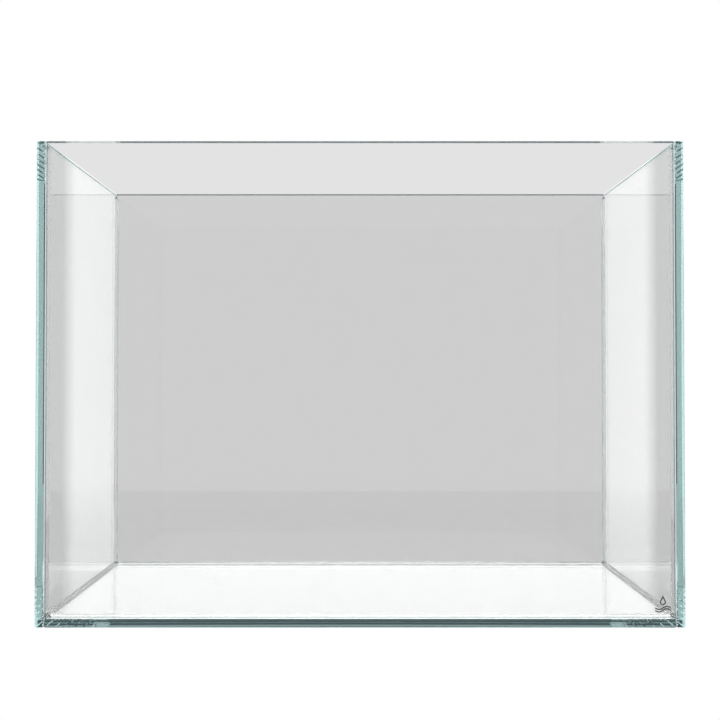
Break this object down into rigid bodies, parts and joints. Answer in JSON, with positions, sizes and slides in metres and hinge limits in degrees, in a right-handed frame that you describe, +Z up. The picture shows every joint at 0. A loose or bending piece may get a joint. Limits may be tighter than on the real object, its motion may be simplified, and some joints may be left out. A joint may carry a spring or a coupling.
{
  "type": "aquarium tank",
  "caption": "Rimless open-topped glass aquarium tank of flat panes bonded edge to face with clear silicone.",
  "frame": {"origin": "centre of the underside, on the surface the tank stands on", "axes": "+X along the width to the viewer's right, +Y from the front pane to the back pane, +Z up"},
  "size_m": [0.6, 0.3001, 0.45],
  "materials": {
    "glass": "polished low-iron float glass, ground edges",
    "silicone": "clear cured silicone, glossy",
    "ink": "matte fired print"
  },
  "bodies": {
    "root": {"base_pane": "glass", "front_pane": "glass", "back_pane": "glass", "left_pane": "glass", "right_pane": "glass", "base_left_bond": "silicone", "base_right_bond": "silicone", "front_base_bond": "silicone", "back_base_bond": "silicone", "front_left_bond": "silicone", "front_right_bond": "silicone", "back_left_bond": "silicone", "back_right_bond": "silicone", "base_left_bead": "silicone", "base_right_bead": "silicone", "base_front_bead": "silicone", "base_back_bead": "silicone", "front_left_bead": "silicone", "front_right_bead": "silicone", "back_left_bead": "silicone", "back_right_bead": "silicone", "printed_mark": "ink"}
  },
  "joints": []
}
